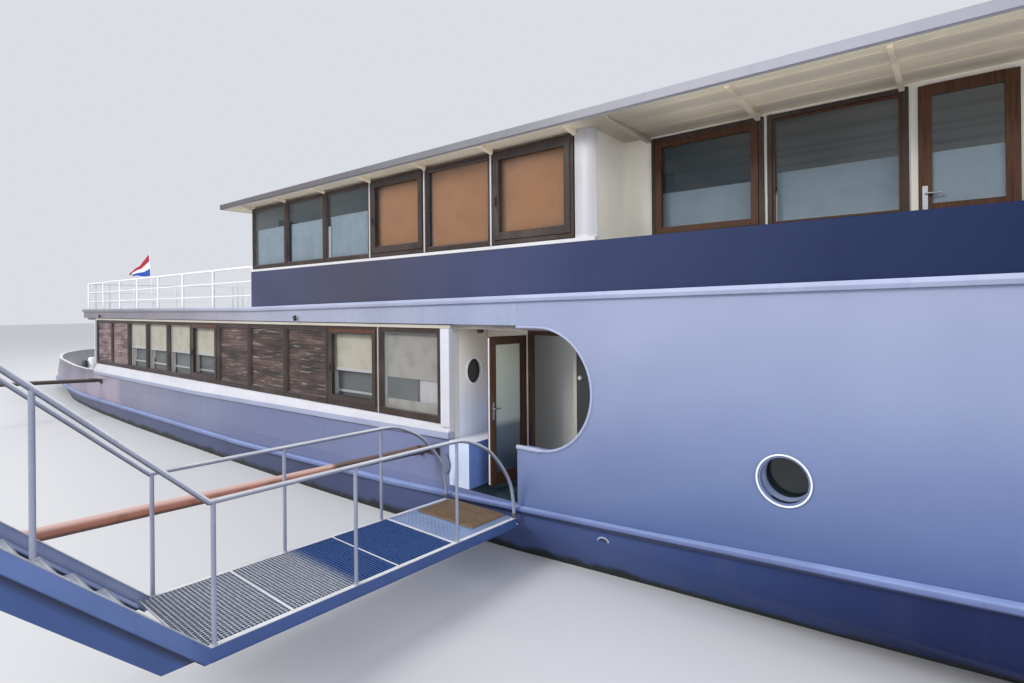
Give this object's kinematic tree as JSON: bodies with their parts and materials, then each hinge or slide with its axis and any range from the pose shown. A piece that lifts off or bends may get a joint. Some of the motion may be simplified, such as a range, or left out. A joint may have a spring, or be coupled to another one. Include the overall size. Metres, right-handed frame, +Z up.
{
  "type": "houseboat",
  "caption": "Steel barge houseboat with a lower cabin, an upper cabin with a side gallery, an aft terrace, a gangway and mooring booms.",
  "frame": {"origin": "centre of the hull at the waterline plane", "axes": "+X forward to the bow, +Y to port, +Z up"},
  "size_m": [38.5444, 11.3687, 6.29],
  "materials": {
    "hull_paint": "satin blue-grey paint",
    "white_paint": "satin off-white paint",
    "slate_paint": "semi-gloss slate-blue paint",
    "grey_paint": "matt light-grey paint",
    "dark_wood": "varnished dark hardwood",
    "window_glass": "clear window glass",
    "galvanised_steel": "dull galvanised steel",
    "primer_steel": "matt red-brown primer with wear",
    "flag_cloth": "woven flag cloth in red, white and blue"
  },
  "bodies": {
    "entrance_door": {"entrance_door": "dark_wood"},
    "gallery_door_starboard": {"gallery_door_starboard": "dark_wood"},
    "gallery_door_port": {"gallery_door_port": "dark_wood"},
    "terrace_door": {"terrace_door": "dark_wood"},
    "aft_door": {"aft_door": "dark_wood"},
    "gangway": {"gangway": "galvanised_steel", "gangway_rail_fore": "galvanised_steel", "gangway_rail_aft": "galvanised_steel"},
    "boom_fore": {"boom_fore": "primer_steel"},
    "boom_aft": {"boom_aft": "primer_steel"},
    "boat": {"band": "slate_paint", "band_cap_port": "white_paint", "band_cap_starboard": "white_paint", "bollards_aft_port": "slate_paint", "bollards_aft_starboard": "slate_paint", "bollards_fore": "slate_paint", "boom_bracket_aft": "slate_paint", "boom_bracket_fore": "slate_paint", "bulwark_bow": "hull_paint", "bulwark_stern": "hull_paint", "coaming_port": "white_paint", "coaming_starboard": "white_paint", "eaves": "white_paint", "fascia": "white_paint", "flag": "flag_cloth", "frames_lower_port": "dark_wood", "frames_lower_starboard": "dark_wood", "gangway_hinge": "galvanised_steel", "glass_lower_port": "window_glass", "glass_lower_starboard": "window_glass", "glass_recess_port": "window_glass", "glass_recess_starboard": "window_glass", "glass_upper_port": "window_glass", "glass_upper_starboard": "window_glass", "gutter": "grey_paint", "hull": "hull_paint", "plating_port": "hull_paint", "plating_starboard": "hull_paint", "porch_sill_fore": "white_paint", "porch_wall_aft": "white_paint", "porch_wall_back": "white_paint", "porthole_port": "white_paint", "porthole_starboard": "white_paint", "roof": "grey_paint", "rubbing_strake": "white_paint", "terrace_railing": "white_paint", "trim_fore_port": "white_paint", "trim_fore_starboard": "white_paint", "upper_deck": "grey_paint", "wall_lower_aft": "white_paint", "wall_lower_fore": "hull_paint", "wall_lower_port": "white_paint", "wall_lower_starboard": "white_paint", "wall_recess_port": "white_paint", "wall_recess_starboard": "white_paint", "wall_upper_aft": "white_paint", "wall_upper_fore": "white_paint", "wall_upper_port": "dark_wood", "wall_upper_starboard": "dark_wood", "windlass": "slate_paint"}
  },
  "joints": [
    {"name": "entrance_door_hinge", "type": "hinge", "parent": "boat", "child": "entrance_door", "pos_m": [7.612, -1.895, 1.8], "axis": [0, 0, 1], "range_deg": [0, 96]},
    {"name": "gallery_door_starboard_hinge", "type": "hinge", "parent": "boat", "child": "gallery_door_starboard", "pos_m": [12.814, -1.83, 4.2], "axis": [0, 0, 1], "range_deg": [0, 80]},
    {"name": "gallery_door_port_hinge", "type": "hinge", "parent": "boat", "child": "gallery_door_port", "pos_m": [12.814, 1.83, 4.2], "axis": [0, 0, -1], "range_deg": [0, 80]},
    {"name": "terrace_door_slide", "type": "slide", "parent": "boat", "child": "terrace_door", "axis": [0, 1, 0], "range_m": [0, 0.9]},
    {"name": "aft_door_hinge", "type": "hinge", "parent": "boat", "child": "aft_door", "pos_m": [-8.78, -0.48, 1.8], "axis": [0, 0, 1], "range_deg": [0, 90]},
    {"name": "gangway_hinge", "type": "hinge", "parent": "boat", "child": "gangway", "pos_m": [7.51, -2.772, 0.53], "axis": [-1, 0, 0], "range_deg": [-3, 5]},
    {"name": "boom_fore_hinge", "type": "hinge", "parent": "boat", "child": "boom_fore", "pos_m": [6.55, -2.8, 1.237], "axis": [-1, 0, 0], "range_deg": [-6, 20]},
    {"name": "boom_aft_hinge", "type": "hinge", "parent": "boat", "child": "boom_aft", "pos_m": [-8.1, -2.8, 1.09], "axis": [-1, 0, 0], "range_deg": [-6, 20]}
  ]
}
